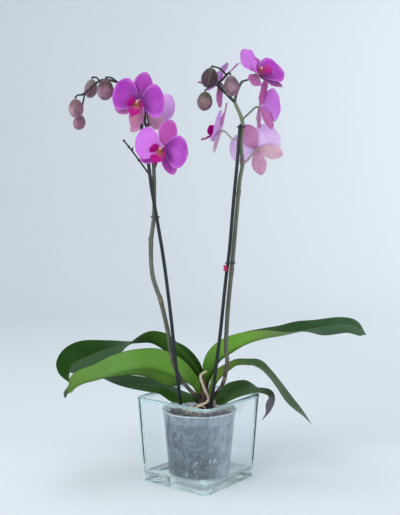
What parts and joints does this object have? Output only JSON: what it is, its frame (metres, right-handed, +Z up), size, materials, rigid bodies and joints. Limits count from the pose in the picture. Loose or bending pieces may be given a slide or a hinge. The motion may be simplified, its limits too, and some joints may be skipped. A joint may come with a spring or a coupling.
{
  "type": "potted orchid",
  "caption": "Moth orchid with two staked flower stems, eight pink-purple flowers, seven buds and six leaves, in a clear nursery pot inside a square glass vase.",
  "frame": {"origin": "middle of the vase's underside, on the surface it stands on", "axes": "+Z up, -Y towards the front as pictured, +X to the right seen from the front"},
  "size_m": [0.5494, 0.209, 0.7289],
  "materials": {
    "vase_glass": "polished clear",
    "clear_plastic": "translucent",
    "bark": "rough",
    "crown": "matte",
    "leaf": "waxy semi-gloss",
    "stem": "satin",
    "stake": "semi-gloss",
    "tie": "satin",
    "clip": "gloss",
    "root": "matte",
    "bud": "satin",
    "petal": "velvety",
    "lip": "satin"
  },
  "bodies": {
    "root": {"glass_vase": "vase_glass", "nursery_pot": "clear_plastic", "bark_mix": "bark", "plant_crown": "crown", "leaf_left_back": "leaf", "leaf_left_front": "leaf", "leaf_left_low": "leaf", "leaf_right_long": "leaf", "leaf_right_drooping": "leaf", "leaf_right_low": "leaf", "flower_stem_left": "stem", "flower_stem_right": "stem", "stake_left": "stake", "stake_right": "stake", "stem_tie_left": "tie", "stem_tie_right_top": "tie", "stem_tie_right_middle": "tie", "flower_clip": "clip", "aerial_root": "root", "surface_root_left": "root", "surface_root_right": "root", "bud_left_1": "bud", "bud_left_2": "bud", "bud_left_3": "bud", "bud_left_4": "bud", "bud_right_1": "bud", "bud_right_2": "bud", "bud_right_3": "bud", "flower_left_1_sepals": "petal", "flower_left_1_petals": "petal", "flower_left_1_lip": "lip", "flower_left_2_sepals": "petal", "flower_left_2_petals": "petal", "flower_left_2_lip": "lip", "flower_left_3_sepals": "petal", "flower_left_3_petals": "petal", "flower_left_3_lip": "lip", "flower_right_1_sepals": "petal", "flower_right_1_petals": "petal", "flower_right_1_lip": "lip", "flower_right_2_sepals": "petal", "flower_right_2_petals": "petal", "flower_right_2_lip": "lip", "flower_right_3_sepals": "petal", "flower_right_3_petals": "petal", "flower_right_3_lip": "lip", "flower_right_4_sepals": "petal", "flower_right_4_petals": "petal", "flower_right_4_lip": "lip", "flower_right_5_sepals": "petal", "flower_right_5_petals": "petal", "flower_right_5_lip": "lip"}
  },
  "joints": []
}
